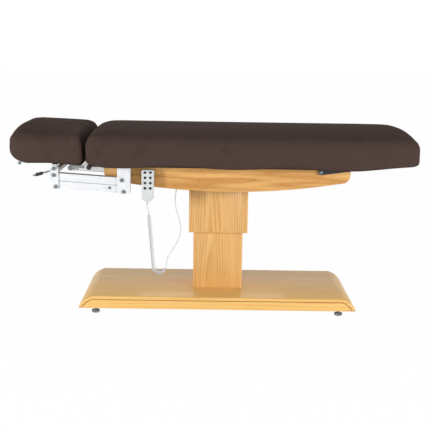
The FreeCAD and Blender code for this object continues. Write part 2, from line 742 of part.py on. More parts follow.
def make_handset():
    outer = handset_block(0, handset_front_y, handset_back_y)
    rims = [e for e in outer.Edges if abs(e.BoundBox.YMax - e.BoundBox.YMin) < pin_clearance]
    outer = outer.makeFillet(handset_edge, rims)
    shell = outer.cut(handset_block(handset_wall, handset_front_y, handset_back_y))
    wide = handset_height
    front_half = block(handset_x - wide, handset_x + wide, handset_front_y - overrun, handset_split_y,
                       handset_bottom_z - overrun, handset_top_z + overrun)
    front = shell.common(front_half)
    back = shell.cut(front_half)
    for index, (x, z) in enumerate(button_places(), 1):
        hole = button_diameter + 2 * button_clearance
        wall_y = handset_front_y + handset_wall
        front = front.cut(y_rod(x, z, hole, handset_front_y - overrun, wall_y + overrun))
        tip_y = handset_front_y - button_proud
        button = y_rod(x, z, button_diameter, tip_y, tip_y + button_length)
        rounds = [e for e in button.Edges if len(e.Vertexes) == 1]
        rim = [e for e in rounds if e.CenterOfMass.y < tip_y + button_proud / 2]
        save("handset_button_%d" % index, button.makeFillet(button_proud / 2, rim))
    save("handset_front_shell", front)
    save("handset_back_shell", back)

    holder_z = (deck_underside_z + apron_lower_edge(handset_x)) / 2
    plate = block(handset_x - holder_width / 2, handset_x + holder_width / 2,
                  apron_face_y - holder_thickness, apron_face_y,
                  holder_z - holder_height / 2, holder_z + holder_height / 2)
    stud = y_rod(handset_x, holder_z, holder_stud_diameter, handset_back_y, apron_face_y - holder_thickness)
    save("handset_holder", plate.fuse(stud).removeSplitter())
    relief_foot = Vector(handset_x + relief_offset_x, handset_split_y, handset_bottom_z - relief_length)
    relief = Part.makeCone(relief_foot_diameter / 2, relief_top_diameter / 2, relief_length, relief_foot)
    save("handset_strain_relief", relief)

    box_top = rail_top_z
    box = block(control_box_x - control_box_length / 2, control_box_x + control_box_length / 2,
                apron_inner_y, apron_inner_y + control_box_depth, box_top - control_box_height, box_top)
    uprights = [e for e in box.Edges if abs(e.Vertexes[0].Z - e.Vertexes[1].Z) > control_box_height / 2]
    save("control_box", box.makeFillet(handset_edge, uprights))
    gland_x, gland_y, gland_z = cord_tail_route[-1]
    save("cord_gland", z_rod(gland_x, gland_y, gland_diameter, gland_z, box_top - control_box_height))


# Handset cord: a short lead, the curly stretch, and a thin tail up to the control box
cord_lead_route = [(-306.0, -290.0, 527.0), (-306.0, -290.0, 518.0), (-303.0, -290.0, 508.5),
                   (-299.5, -290.0, 499.5), (-298.7, -290.0, 490.2)]
coil_heading = math.radians(4.9)
coil_bend_angle = math.radians(170.0)
cord_tail_route = [(-218.76, -290.0, 241.1), (-216.8, -290.0, 263.0), (-208.0, -290.0, 290.0),
                   (-190.0, -289.0, 319.0), (-170.0, -287.0, 349.0), (-156.0, -283.0, 383.0),
                   (-152.0, -275.0, 417.0), (-158.0, -263.0, 450.0), (-170.0, -248.0, 482.0),
                   (-180.0, -233.0, 515.0), (-181.0, -221.0, 548.0), (-177.0, -213.0, 578.0),
                   (-174.5, -210.5, 604.0)]


def cord_tube(route, name):
    points = [Vector(*p) for p in route]
    edges = []
    start = points[0]
    radii = []
    for before, corner, after in zip(points, points[1:], points[2:]):
        into = (corner - before).normalize()
        out = (after - corner).normalize()
        turn = into.getAngle(out)
        trim = cord_trim_share * min((corner - before).Length, (after - corner).Length)
        radius = trim / math.tan(turn / 2)
        radii.append(round(radius, 1))
        a = corner - into * trim
        b = corner + out * trim
        inward = (out - into).normalize()
        centre = corner + inward * (radius / math.cos(turn / 2))
        edges.append(Part.LineSegment(start, a).toShape())
        edges.append(Part.Arc(a, centre - inward * radius, b).toShape())
        start = b
    edges.append(Part.LineSegment(start, points[-1]).toShape())
    path = Part.Wire(edges)
    ring = Part.Wire(Part.makeCircle(cord_diameter / 2, points[0], points[1] - points[0]))
    tube = path.makePipeShell([ring], True, False)
    share = tube.Volume / (math.pi * cord_diameter ** 2 / 4 * path.Length)
    print(name, "length", round(path.Length, 1), "volume share", round(share, 4), "radii", radii)
    save(name, tube)


def coil_axis(s):
    straight = coil_turns * coil_pitch - coil_bend_radius * coil_bend_angle
    start = Vector(*cord_lead_route[-1])
    heading = Vector(math.sin(coil_heading), 0, -math.cos(coil_heading))
    aside = Vector(math.cos(coil_heading), 0, math.sin(coil_heading))
    if s <= straight:
        return start + heading * s, aside
    centre = start + heading * straight + aside * coil_bend_radius
    angle = (s - straight) / coil_bend_radius
    inward = aside * math.cos(angle) - heading * math.sin(angle)
    return centre - inward * coil_bend_radius, inward


def coil_point(s):
    length = coil_turns * coil_pitch
    middle, aside = coil_axis(s)
    ramp = min(1.0, s / (coil_ramp_turns * coil_pitch), (length - s) / (coil_ramp_turns * coil_pitch))
    radius = coil_radius * ramp * ramp * (3 - 2 * ramp)
    angle = 2 * math.pi * s / coil_pitch
    return middle + aside * (radius * math.cos(angle)) + Vector(0, radius * math.sin(angle), 0)


def arc_from(start, tangent, end):
    chord = end - start
    along = Vector(chord).normalize()
    lean = tangent.getAngle(chord)
    if lean < math.radians(0.01):
        return Part.LineSegment(start, end).toShape()
    outward = (tangent - along * tangent.dot(along)).normalize()
    middle = (start + end) * 0.5 + outward * (chord.Length / 2 * math.tan(lean / 2))
    return Part.Arc(start, middle, end).toShape()


def biarc(p0, t0, p1, t1):
    v = p1 - p0
    t = t0 + t1
    a = 2 * (1 - t0.dot(t1))
    b = 2 * v.dot(t)
    c = -v.dot(v)
    d = -c / b if abs(a) < 1e-9 else (-b + math.sqrt(b * b - 4 * a * c)) / (2 * a)
    joint = (p0 + p1 + (t0 - t1) * d) * 0.5
    first = arc_from(p0, t0, joint)
    turn = arc_from(p1, t1 * -1, joint)
    return [first, turn]


def make_coil():
    length = coil_turns * coil_pitch
    step = coil_pitch / 2
    nudge = step / 1000
    stations = [i * step for i in range(2 * coil_turns + 1)]
    points = [coil_point(s) for s in stations]
    tangents = []
    for s in stations:
        low, high = max(0.0, s - nudge), min(length, s + nudge)
        tangents.append((coil_point(high) - coil_point(low)).normalize())
    first = points[0]
    edges = [Part.LineSegment(first, first + tangents[0] * cord_diameter).toShape()]
    shift = tangents[0] * cord_diameter
    points = [p + shift for p in points]
    for p0, t0, p1, t1 in zip(points, tangents, points[1:], tangents[1:]):
        edges.extend(biarc(p0, t0, p1, t1))
    end = points[-1] + tangents[-1] * cord_diameter
    edges.append(Part.LineSegment(points[-1], end).toShape())
    path = Part.Wire(Part.__sortEdges__(edges))
    ring = Part.Wire(Part.makeCircle(cord_diameter / 2, first, tangents[0]))
    coil = path.makePipeShell([ring], True, False)
    share = coil.Volume / (math.pi * cord_diameter ** 2 / 4 * path.Length)
    print("cord_coil length", round(path.Length, 1), "volume share", round(share, 4))
    print("coil least gap to itself", round(coil_gap(), 2), "end", end)
    save("cord_coil", coil)


def coil_gap():
    count = coil_turns * coil_dots_per_turn
    dots = [coil_point(coil_turns * coil_pitch * i / count) for i in range(count + 1)]
    run = [0.0]
    for p, q in zip(dots, dots[1:]):
        run.append(run[-1] + (q - p).Length)
    least = coil_pitch * coil_turns
    for i, p in enumerate(dots):
        for j in range(i + 1, min(count + 1, i + 2 * coil_dots_per_turn)):
            if run[j] - run[i] > math.pi * coil_radius:
                least = min(least, (p - dots[j]).Length)
    return least - cord_diameter


# Upholstery: each stretch is a crowned section with drawn-in sides; its ends narrow and round over
def pad_section(x, bottom_z, thickness, narrowing, inset, lift):
    half = pad_width / 2 - narrowing
    z0 = bottom_z + lift
    z1 = bottom_z + thickness - inset
    ease = 1 - pad_end_ease_share * min(1, inset / pad_end_radius)
    rb = pad_bottom_radius * ease
    rt = pad_top_radius * ease
    draw = pad_side_draw * ease
    diag = 1 - math.sqrt(0.5)
    shoulder = z1 - pad_crown
    side_low = half - draw
    middle_z = (z0 + rb + shoulder - rt) / 2
    near = [Vector(x, side_low - rb, z0),
            Vector(x, side_low - rb * diag, z0 + rb * diag),
            Vector(x, side_low, z0 + rb),
            Vector(x, half, middle_z),
            Vector(x, half - draw / 2, shoulder - rt),
            Vector(x, half - draw / 2 - rt * diag, shoulder - rt * diag),
            Vector(x, half - draw / 2 - rt, shoulder)]
    far = [Vector(p.x, -p.y, p.z) for p in reversed(near)]
    edges = [Part.LineSegment(far[-1], near[0]).toShape()]
    for a, b, c in ((0, 1, 2), (2, 3, 4), (4, 5, 6)):
        edges.append(Part.Arc(near[a], near[b], near[c]).toShape())
    edges.append(Part.Arc(near[6], Vector(x, 0, z1), far[0]).toShape())
    for a, b, c in ((0, 1, 2), (2, 3, 4), (4, 5, 6)):
        edges.append(Part.Arc(far[a], far[b], far[c]).toShape())
    return Part.Wire(edges)


def end_stations(reach, draw, radius, foot_share):
    stations = []
    power = pad_plan_power_share
    for k in range(pad_end_steps + 1):
        run = reach * (k / pad_end_steps) ** 2
        left = 1 - run / reach
        narrowing = draw * (1 - (1 - left ** power) ** (1 / power))
        turn = max(0, radius - run)
        inset = radius - math.sqrt(radius ** 2 - turn ** 2) + pad_end_roll * left ** 2
        stations.append((run, narrowing, inset, inset * foot_share))
    return stations


def pad(x0, x1, bottom_z, thickness, left_end, right_end):
    places = [(x0 + run, *shape) for run, *shape in left_end]
    places += [(x1 - run, *shape) for run, *shape in reversed(right_end)]
    return Part.makeLoft([pad_section(x, bottom_z, thickness, *shape) for x, *shape in places], True, True)


def make_pads():
    gap = pad_clearance / 2
    hip0, hip1 = hip_x - back_bend_half, hip_x + back_bend_half
    knee0, knee1 = knee_x - leg_bend_half, knee_x + leg_bend_half
    plain = [(0, 0, 0, 0)]
    foot = end_stations(pad_foot_reach, pad_foot_draw, pad_end_radius, pad_end_foot_share)
    head = end_stations(pad_head_reach, pad_head_draw, pad_end_radius, pad_end_foot_share)
    joint = end_stations(pad_joint_reach, pad_joint_draw, pad_joint_radius, pad_joint_foot_share)
    low, deep = pad_bottom_z, pad_thickness
    save("back_pad", pad(main_pad_left_x, hip0 - gap, low, deep, joint, plain))
    save("hip_bend_pad", pad(hip0 + gap, hip1 - gap, low, deep, plain, plain))
    save("seat_pad", pad(hip1 + gap, knee0 - gap, low, deep, plain, plain))
    save("knee_bend_pad", pad(knee0 + gap, knee1 - gap, low, deep, plain, plain))
    save("leg_pad", pad(knee1 + gap, foot_end_x, low, deep, plain, foot))
    headrest = pad(head_end_x, head_pad_right_x, head_deck_top_z, head_pad_thickness, head, joint)
    save_tilted("head_pad", headrest)


os.makedirs("parts", exist_ok=True)
make_base()
make_column()
make_aprons()
make_decks()
make_leg_hinge()
make_headrest_links()
make_carrier()
make_head_deck()
make_handset()
cord_tube(cord_lead_route, "cord_lead")
make_coil()
cord_tube(cord_tail_route, "cord_tail")
make_pads()
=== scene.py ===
import json
import math
from collections import namedtuple

import bpy
import numpy as np
from mathutils import Matrix, Vector

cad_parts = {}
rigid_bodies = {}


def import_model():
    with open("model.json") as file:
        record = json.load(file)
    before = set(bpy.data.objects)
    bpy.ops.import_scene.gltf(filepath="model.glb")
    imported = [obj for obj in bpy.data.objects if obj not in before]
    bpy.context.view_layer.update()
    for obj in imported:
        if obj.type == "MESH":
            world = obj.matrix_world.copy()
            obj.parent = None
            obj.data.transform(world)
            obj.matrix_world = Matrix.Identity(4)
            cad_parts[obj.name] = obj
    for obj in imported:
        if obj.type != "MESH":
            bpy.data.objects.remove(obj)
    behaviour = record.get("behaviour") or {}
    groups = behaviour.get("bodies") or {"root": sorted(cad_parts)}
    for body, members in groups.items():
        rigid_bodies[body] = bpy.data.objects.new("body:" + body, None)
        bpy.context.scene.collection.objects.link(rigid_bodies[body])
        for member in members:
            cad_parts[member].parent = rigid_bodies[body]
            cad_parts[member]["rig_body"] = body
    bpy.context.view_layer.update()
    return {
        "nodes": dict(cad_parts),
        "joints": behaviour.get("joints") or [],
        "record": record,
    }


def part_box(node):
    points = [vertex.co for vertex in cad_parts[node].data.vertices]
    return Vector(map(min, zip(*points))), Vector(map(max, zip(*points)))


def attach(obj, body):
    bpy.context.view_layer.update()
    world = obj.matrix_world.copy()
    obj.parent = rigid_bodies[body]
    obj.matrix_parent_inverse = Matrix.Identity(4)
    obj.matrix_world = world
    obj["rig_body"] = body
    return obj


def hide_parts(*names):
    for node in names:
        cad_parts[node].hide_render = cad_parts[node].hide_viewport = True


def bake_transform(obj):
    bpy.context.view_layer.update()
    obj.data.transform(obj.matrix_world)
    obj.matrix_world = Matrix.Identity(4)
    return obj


bl_info = {
    "name": "Spa treatment table",
    "version": (1, 0, 0),
    "blender": (4, 5, 0),
    "location": "View3D > Sidebar > Spa table",
    "description": "Dresses the treatment table's packed frame: upholstery, wood, metal, handset and cord",
    "category": "Object",
}

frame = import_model()
MM = 0.001
JOINTS = {joint["name"]: joint for joint in frame["joints"]}


def linear(hex_colour):
    """Linear RGB of an sRGB hex colour."""
    values = [int(hex_colour[i:i + 2], 16) / 255 for i in (1, 3, 5)]
    return [v / 12.92 if v <= 0.04045 else ((v + 0.055) / 1.055) ** 2.4 for v in values]


def colour(label, hex_colour, note):
    """A colour that a user may change, given as sRGB hex."""
    return bpy.props.FloatVectorProperty(name=label, description=note, subtype="COLOR", size=3, min=0, max=1,
                                         default=linear(hex_colour))


def length(label, millimetres, note):
    """A size that a user may change, given in millimetres."""
    return bpy.props.FloatProperty(name=label, description=note, unit="LENGTH", subtype="DISTANCE",
                                   default=millimetres * MM)


class SpaTableSizes(bpy.types.PropertyGroup):
    pad_voxel: length("Pad voxel", 11, "Spacing of the upholstery mesh before it is blown up")
    pad_swell: length("Pad swell", 6, "Most that the filling pushes the leather out")
    pad_top_edge: length("Top edge", 50, "Rounding of the pads' upper edges")
    pad_bottom_edge: length("Bottom edge", 20, "Rounding of the pads' lower edges")
    pad_end: length("End edge", 38, "Rounding of the pads' upright corners")
    pad_crown: length("Crown", 26, "Rise of the pads towards their middle")
    pad_roll: length("End roll", 2, "Fall of the pads' tops towards their ends")
    foot_reach: length("Foot end reach", 250, "Length over which the mattress narrows to its foot end")
    foot_draw: length("Foot end draw", 36, "Narrowing of the mattress at its foot end, each side")
    head_reach: length("Head end reach", 170, "Length over which the head pad narrows to its outer end")
    head_draw: length("Head end draw", 14, "Narrowing of the head pad at its outer end, each side")
    foot_bow: length("Foot end bow", 7, "How far the middle of the foot end stands out")
    head_bow: length("Head end bow", 24, "How far the middle of the head end stands out")
    joint_reach: length("Joint reach", 60, "Length over which the pads narrow where they meet")
    joint_draw: length("Joint draw", 12, "Narrowing of the pads where they meet, each side")
    joint_corner: length("Joint corner", 10, "Rounding of the upright corners where the pads meet")
    joint_give: length("Joint give", 5, "Room left at each pad where they meet")
    joint_stretch: length("Joint stretch", 1, "Extra foam of the mattress where the pads meet")
    end_stretch: length("End stretch", 5, "Extra foam at the outer ends, which the tight leather takes back")
    foot_lift: length("Foot end lift", 16, "Rise of the mattress underside at the foot end")
    foot_lift_reach: length("Foot lift reach", 300, "Length over which that underside rises")
    head_lift: length("Head end lift", 32, "Rise of the head pad's underside at the head end")
    head_lift_reach: length("Head lift reach", 80, "Length over which that underside rises")
    head_lean: length("Head end lean", 12, "How far the top of the head end stands out past its foot")
    joint_lift: length("Joint lift", 12, "Rise of the mattress underside where the pads meet")
    joint_lift_reach: length("Joint lift reach", 90, "Length over which that underside rises")
    joint_lean: length("Joint lean", 7, "How far the top of the mattress leans to the head pad")
    head_give: length("Head end give", 5, "Foam left off at the head end, which the bow and the lean make up")
    sag_depth: length("Sag", 11, "Sag of the leather below the overhanging edge")
    sag_pitch: length("Sag pitch", 510, "Distance from one sag to the next")
    sag_place: length("Sag place", 80, "Where one sag lies along the table")
    deck_corner: length("Deck corner", 100, "Length of the boards' rounded ends")
    head_deck_recess: length("Head deck recess", 26, "How far the head board stays back under the head end")
    deck_recess: length("Deck recess", 130, "How far the leg board stays back under the foot end")
    arm_deepening: length("Arm deepening", 1.7, "How far each headrest arm grows towards the other")
    strip_width: length("Corner strip", 11, "Width of the strips at the corners of the column covers")
    strip_groove: length("Strip groove", 4, "Width of the groove beside a corner strip")
    strip_groove_depth: length("Strip groove depth", 2.5, "Depth of that groove")
    cover_rest: length("Cover rest", 1, "Room between the column covers at the lowest height")
    chin_height: length("Chin height", 16, "Height over which the handset tapers at its foot")
    wood_edge: length("Wood edge", 2.2, "Sanded rounding of the wooden edges")
    base_edge: length("Base edge", 4, "Rounding of the base's top layer, which leaves a groove under it")
    stud_diameter: length("Stud diameter", 13, "Head of the stop studs on the headrest's lower arms")
    stud_height: length("Stud height", 5, "Height of the stop studs' heads")
    metal_edge: length("Metal edge", 0.9, "Broken edge of the steel plates")
    cord_diameter: length("Cord diameter", 4.6, "Jacket of the handset cord")
    head_tilt: bpy.props.FloatProperty(name="Head tilt", description="Rise of the head pad's outer end as shown",
                                       subtype="ANGLE", default=math.atan(0.042))


class SpaTableColours(bpy.types.PropertyGroup):
    leather: colour("Leather", "#4A3C37", "Brown upholstery leather")
    leather_deep: colour("Leather grain", "#3F322D", "The leather's pores and folds")
    base_light: colour("Base wood light", "#F3C87A", "Early wood of the base")
    base_dark: colour("Base wood dark", "#E6B060", "Late wood of the base")
    # Darker copies of the base wood: painted shade for the groove under the base's top layer
    groove_painted_shade_light: colour("Groove wood light", "#B98345", "Early wood in the shaded groove of the base")
    groove_painted_shade_dark: colour("Groove wood dark", "#9C6A33", "Late wood in the shaded groove of the base")
    column_light: colour("Column wood light", "#E7BD7C", "Early wood of the column covers")
    column_dark: colour("Column wood dark", "#D09650", "Late wood of the column covers")
    apron_light: colour("Apron wood light", "#E3B069", "Early wood of the aprons")
    apron_dark: colour("Apron wood dark", "#B97F3C", "Late wood of the aprons")
    white_coat: colour("White coat", "#E3E5E8", "Powder coat of the headrest mechanism")
    grey_paint: colour("Grey paint", "#8B8C8C", "Painted steel under the deck")
    zinc: colour("Zinc", "#79838A", "Plated bolts and feet")
    black: colour("Black", "#17181B", "Black coat and black plastic")
    abs_grey: colour("ABS grey", "#D1D4D4", "Moulded handset")
    cord_jacket: colour("Cord jacket", "#D6D7D7", "Jacket of the curly cord")
    floor: colour("Floor", "#F4F4F4", "Pale studio floor")


def sizes():
    return bpy.context.scene.spa_table_sizes


def colours():
    return bpy.context.scene.spa_table_colours


# Materials

def set_inputs(node, **values):
    """Sets unlinked inputs by their names, with underscores for the spaces."""
    for key, value in values.items():
        node.inputs[key.replace("_", " ")].default_value = value


def add(tree, kind, inputs=None, **settings):
    """Adds a node, sets its properties and named inputs, and links or sets the inputs given by socket."""
    node = tree.nodes.new(kind)
    for key, value in settings.items():
        if key in node.bl_rna.properties:
            setattr(node, key, value)
        else:
            set_inputs(node, **{key: value})
    for key, source in (inputs or {}).items():
        if isinstance(source, bpy.types.NodeSocket):
            tree.links.new(source, node.inputs[key])
        else:
            node.inputs[key].default_value = source
    return node


def new_material(name):
    """An empty material with its shader and output joined; returns both with its object coordinates."""
    material = bpy.data.materials.new(name)
    material.use_nodes = True
    tree = material.node_tree
    tree.nodes.clear()
    shader = add(tree, "ShaderNodeBsdfPrincipled")
    add(tree, "ShaderNodeOutputMaterial", {"Surface": shader.outputs[0]})
    place = add(tree, "ShaderNodeTexCoord").outputs["Object"]
    return material, tree, shader, place


def colour_between(tree, shader, pattern, low, high, first=0.0, last=1.0):
    """Colours a finish from one tone to the other, as its pattern goes from first to last."""
    ramp = add(tree, "ShaderNodeValToRGB", {"Fac": pattern})
    for element, place, tone in zip(ramp.color_ramp.elements, (first, last), (low, high)):
        element.position = place
        element.color = (*tone, 1.0)
    tree.links.new(ramp.outputs["Color"], shader.inputs["Base Color"])


def leather_material():
    """Coated upholstery leather, embossed and stretched: pebbled grain, soft broad sheen."""
    material, tree, shader, place = new_material("coated_leather_embossed")
    # The pebbles are coarser than the real 1 mm emboss, so that they show
    pebble_size, mottle_size, pore_size = 2.4 * MM, 90 * MM, 0.9 * MM
    pebble = add(tree, "ShaderNodeTexVoronoi", {"Vector": place}, Scale=1 / pebble_size, feature="SMOOTH_F1")
    mottle = add(tree, "ShaderNodeTexNoise", {"Vector": place}, Scale=1 / mottle_size, Detail=4)
    fine = add(tree, "ShaderNodeTexNoise", {"Vector": place}, Scale=1 / pore_size, Detail=2)
    shade = add(tree, "ShaderNodeMath", {0: mottle.outputs[0], 1: pebble.outputs["Distance"], 2: mottle.outputs[0]},
                operation="MULTIPLY_ADD")
    colour_between(tree, shader, shade.outputs[0], colours().leather_deep, colours().leather, first=0.25, last=0.62)
    gloss = add(tree, "ShaderNodeMapRange", {"Value": mottle.outputs[0]}, To_Min=0.62, To_Max=0.76)
    tree.links.new(gloss.outputs[0], shader.inputs["Roughness"])
    grain = add(tree, "ShaderNodeBump", {"Height": pebble.outputs["Distance"]}, Strength=0.16, Distance=0.3 * MM)
    skin = add(tree, "ShaderNodeBump", {"Height": fine.outputs[0], "Normal": grain.outputs[0]},
               Strength=0.08, Distance=0.2 * MM)
    tree.links.new(skin.outputs[0], shader.inputs["Normal"])
    set_inputs(shader, IOR=1.4, Specular_IOR_Level=0.01)
    return material


def wood_material(name, along, heart, ring, light, dark, gloss=0.3, coat=0.35):
    """Ash veneer under clear lacquer: rings about the log's heart cut to arches, pores, a smooth coat."""
    material, tree, shader, place = new_material(name)
    log_taper, pore_size, streak_size = 0.07, 2.6 * MM, 22 * MM
    stretch = [1.0, 1.0, 1.0]
    stretch["XYZ".index(along)] = 1 / log_taper
    lie = add(tree, "ShaderNodeMapping", {"Vector": place}, vector_type="TEXTURE", Location=heart, Scale=stretch)
    # The log bends and swells by some 14 mm within a hand's breadth, which breaks the rings up
    drift_size, drift_reach = 55 * MM, 34 * MM
    drift = add(tree, "ShaderNodeTexNoise", {"Vector": lie.outputs[0]}, Scale=1 / drift_size, Detail=2)
    sway = add(tree, "ShaderNodeVectorMath", {0: drift.outputs["Color"]}, operation="SCALE", Scale=drift_reach)
    bent = add(tree, "ShaderNodeVectorMath", {0: lie.outputs[0], 1: sway.outputs[0]}, operation="ADD")
    radius = add(tree, "ShaderNodeVectorMath", {0: bent.outputs[0]}, operation="LENGTH")
    # A year ring is an early and a late half, and the late wood is the narrower line
    count = add(tree, "ShaderNodeMath", {0: radius.outputs["Value"], 1: 2 / (ring * MM)}, operation="MULTIPLY")
    rings = add(tree, "ShaderNodeMath", {0: count.outputs[0], 1: 1.0}, operation="PINGPONG")
    line = add(tree, "ShaderNodeMath", {0: rings.outputs[0], 1: 1.8}, operation="POWER")
    pores = add(tree, "ShaderNodeTexNoise", {"Vector": lie.outputs[0]}, Scale=1 / pore_size, Detail=3)
    streaks = add(tree, "ShaderNodeTexNoise", {"Vector": lie.outputs[0]}, Scale=1 / streak_size, Detail=3)
    figure = add(tree, "ShaderNodeMix", {"A": line.outputs[0], "B": streaks.outputs[0], "Factor": 0.5},
                 data_type="FLOAT")
    spread = add(tree, "ShaderNodeMix", {"A": figure.outputs[0], "B": pores.outputs[0], "Factor": 0.35},
                 data_type="FLOAT")
    colour_between(tree, shader, spread.outputs[0], light, dark, first=0.25, last=0.72)
    bump = add(tree, "ShaderNodeBump", {"Height": pores.outputs[0]}, Strength=0.05, Distance=0.2 * MM)
    tree.links.new(bump.outputs[0], shader.inputs["Normal"])
    set_inputs(shader, Roughness=0.5, Specular_IOR_Level=0.25, Coat_Weight=coat, Coat_Roughness=gloss)
    return material


def coated_material(name, tone, roughness, speck=1.4, depth=0.05, metallic=0.0):
    """Sprayed or moulded finish: an even colour with a fine orange peel or grain."""
    material, tree, shader, place = new_material(name)
    cloud_size, cloud_shade, gloss_spread = 35 * MM, 0.93, 0.12
    cloud = add(tree, "ShaderNodeTexNoise", {"Vector": place}, Scale=1 / cloud_size, Detail=3)
    peel = add(tree, "ShaderNodeTexNoise", {"Vector": place}, Scale=1 / (speck * MM), Detail=2)
    shaded = [v * cloud_shade for v in tone]
    colour_between(tree, shader, cloud.outputs[0], shaded, tone, first=0.3, last=0.65)
    gloss = add(tree, "ShaderNodeMapRange", {"Value": cloud.outputs[0]}, To_Min=roughness * (1 - gloss_spread),
                To_Max=roughness * (1 + gloss_spread))
    tree.links.new(gloss.outputs[0], shader.inputs["Roughness"])
    bump = add(tree, "ShaderNodeBump", {"Height": peel.outputs[0]}, Strength=depth, Distance=0.2 * MM)
    tree.links.new(bump.outputs[0], shader.inputs["Normal"])
    set_inputs(shader, Metallic=metallic)
    return material


FINISHES = {}
# Where the heart of each log lies, in metres
BASE_HEART = (0.3, 0.05, -0.15)
COLUMN_HEART = (0.0, -0.03, 0.2)
APRON_HEART = (-0.22, 0.0, 0.655)
RAIL_HEART = (0.0, 0.0, 0.6)


def finish_library():
    """Every finish of the table, made once and kept by its slot or use."""
    c = colours()
    FINISHES.update(
        brown_leather=leather_material(),
        base_wood=wood_material("ash_veneer_lacquered_base", "X", BASE_HEART, 11, c.base_light, c.base_dark,
                                gloss=0.1, coat=0.2),
        # Painted shade: the base wood in darker tones, for the groove under the base's top layer
        groove_wood=wood_material("ash_veneer_groove_painted_shade", "X", BASE_HEART, 11, c.groove_painted_shade_light, c.groove_painted_shade_dark),
        column_wood=wood_material("ash_veneer_lacquered_column", "Z", COLUMN_HEART, 9, c.column_light, c.column_dark),
        apron_wood=wood_material("ash_veneer_lacquered_apron", "X", APRON_HEART, 10, c.apron_light, c.apron_dark),
        rail_wood=wood_material("ash_veneer_lacquered_rails", "Y", RAIL_HEART, 10, c.apron_light, c.apron_dark),
        white_steel=coated_material("steel_white_powder_coated", c.white_coat, 0.42, speck=0.8, depth=0.08),
        grey_steel=coated_material("steel_grey_painted", c.grey_paint, 0.4),
        bright_steel=coated_material("steel_zinc_plated", c.zinc, 0.3, speck=0.7, metallic=1.0),
        black_steel=coated_material("steel_black_powder_coated", c.black, 0.38, speck=0.8, depth=0.08),
        black_plastic=coated_material("polypropylene_black_moulded", c.black, 0.5, speck=0.6, depth=0.08),
        grey_abs=coated_material("abs_light_grey_moulded", c.abs_grey, 0.38, speck=0.5, depth=0.06),
        pale_cord=coated_material("pvc_pale_grey_extruded", c.cord_jacket, 0.42, speck=0.7, depth=0.04),
        black_button=coated_material("silicone_black_moulded", c.black, 0.55, speck=0.5, depth=0.06),
    )


def dress(obj, finish):
    obj.data.materials.clear()
    obj.data.materials.append(FINISHES[finish])


# Modelling helpers

MERGE_DISTANCE = 0.01 * MM
FLAT_ANGLE = math.radians(1)
# How much of a piece counts as its end
END_DEPTH = 8 * MM
# How near a panel's face and a groove's middle the points lie that are pressed in
SCRIBE_REACH = 3 * MM
ON_LINE = 0.05 * MM


def select_only(obj):
    bpy.ops.object.select_all(action="DESELECT")
    obj.select_set(True)
    bpy.context.view_layer.objects.active = obj


def apply_modifiers(obj):
    select_only(obj)
    for modifier in list(obj.modifiers):
        bpy.ops.object.modifier_apply(modifier=modifier.name)


def points_of(obj):
    places = np.zeros(len(obj.data.vertices) * 3, np.float32)
    obj.data.vertices.foreach_get("co", places)
    return places.reshape(-1, 3).astype(float)


def set_points(obj, places):
    obj.data.vertices.foreach_set("co", np.asarray(places, np.float32).ravel())
    obj.data.update()


def smooth(obj, degrees=35):
    select_only(obj)
    bpy.ops.object.shade_smooth_by_angle(angle=math.radians(degrees))


def softened(node, edge, finish, limit=28):
    """A copy of a rigid CAD node with its sharp edges broken as the real piece's are."""
    source = frame["nodes"][node]
    piece = source.copy()
    piece.data = source.data.copy()
    piece.name = node + "_finished"
    for key in list(piece.keys()):
        del piece[key]
    piece.parent = None
    bpy.context.scene.collection.objects.link(piece)
    select_only(piece)
    bpy.ops.object.mode_set(mode="EDIT")
    bpy.ops.mesh.select_all(action="SELECT")
    bpy.ops.mesh.remove_doubles(threshold=MERGE_DISTANCE)
    bpy.ops.mesh.dissolve_limited(angle_limit=FLAT_ANGLE)
    bpy.ops.object.mode_set(mode="OBJECT")
    rounding = piece.modifiers.new("broken edges", "BEVEL")
    rounding.width = edge
    rounding.segments = 2
    rounding.limit_method = "ANGLE"
    rounding.angle_limit = math.radians(limit)
    apply_modifiers(piece)
    smooth(piece)
    dress(piece, finish)
    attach(piece, source["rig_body"])
    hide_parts(node)
    return piece


def pull_face(piece, axis, distance, depth=END_DEPTH, narrowing=0.0):
    """Draws one end of a piece back along an axis and narrows it; a negative distance takes the low end."""
    places = points_of(piece)
    along = places[:, axis] * math.copysign(1, distance)
    far = along > along.max() - depth
    places[far, axis] -= distance
    places[far, 1] *= 1 - narrowing
    set_points(piece, places)


def scribe(panel, places_x):
    """Cuts upright grooves into the front and the back of a panel, where its corner strips meet the boards."""
    width, depth = sizes().strip_groove, sizes().strip_groove_depth
    select_only(panel)
    bpy.ops.object.mode_set(mode="EDIT")
    for x in places_x:
        for off in (-width / 2, 0, width / 2):
            bpy.ops.mesh.select_all(action="SELECT")
            bpy.ops.mesh.bisect(plane_co=(x + off, 0, 0), plane_no=(1, 0, 0))
    bpy.ops.object.mode_set(mode="OBJECT")
    places = points_of(panel)
    low, high = places[:, 1].min(), places[:, 1].max()
    for x in places_x:
        line = np.abs(places[:, 0] - x) < ON_LINE
        places[line & (places[:, 1] < low + SCRIBE_REACH), 1] += depth
        places[line & (places[:, 1] > high - SCRIBE_REACH), 1] -= depth
    set_points(panel, places)


def deepen(bar, amount):
    """Moves the upper side of a sloping bar up, or for a negative amount its lower side down."""
    places = points_of(bar)
    slope, level = np.polyfit(places[:, 0], places[:, 2], 1)
    side = (places[:, 2] - slope * places[:, 0] - level) * amount > 0
    places[side, 2] += amount
    set_points(bar, places)


# Upholstery

PadEnd = namedtuple("PadEnd", "reach draw lift lift_reach bow lean")
# How full the plan of a narrowed end is: 2 is an ellipse, more is squarer
END_SQUARENESS = 2.5
LIFT_EASE = 1.5
CROWN_EASE = 1.5
SAG_EASE = 5
# Shares of the pad's half width: the foot of the sides, then where the overhang starts and how soon it is full
FOOT_TUCK = 0.02
OVERHANG_START = 0.82
OVERHANG_RUN = 0.1
# Height over which a fold fades out below the top
FOLD_FADE = 20 * MM
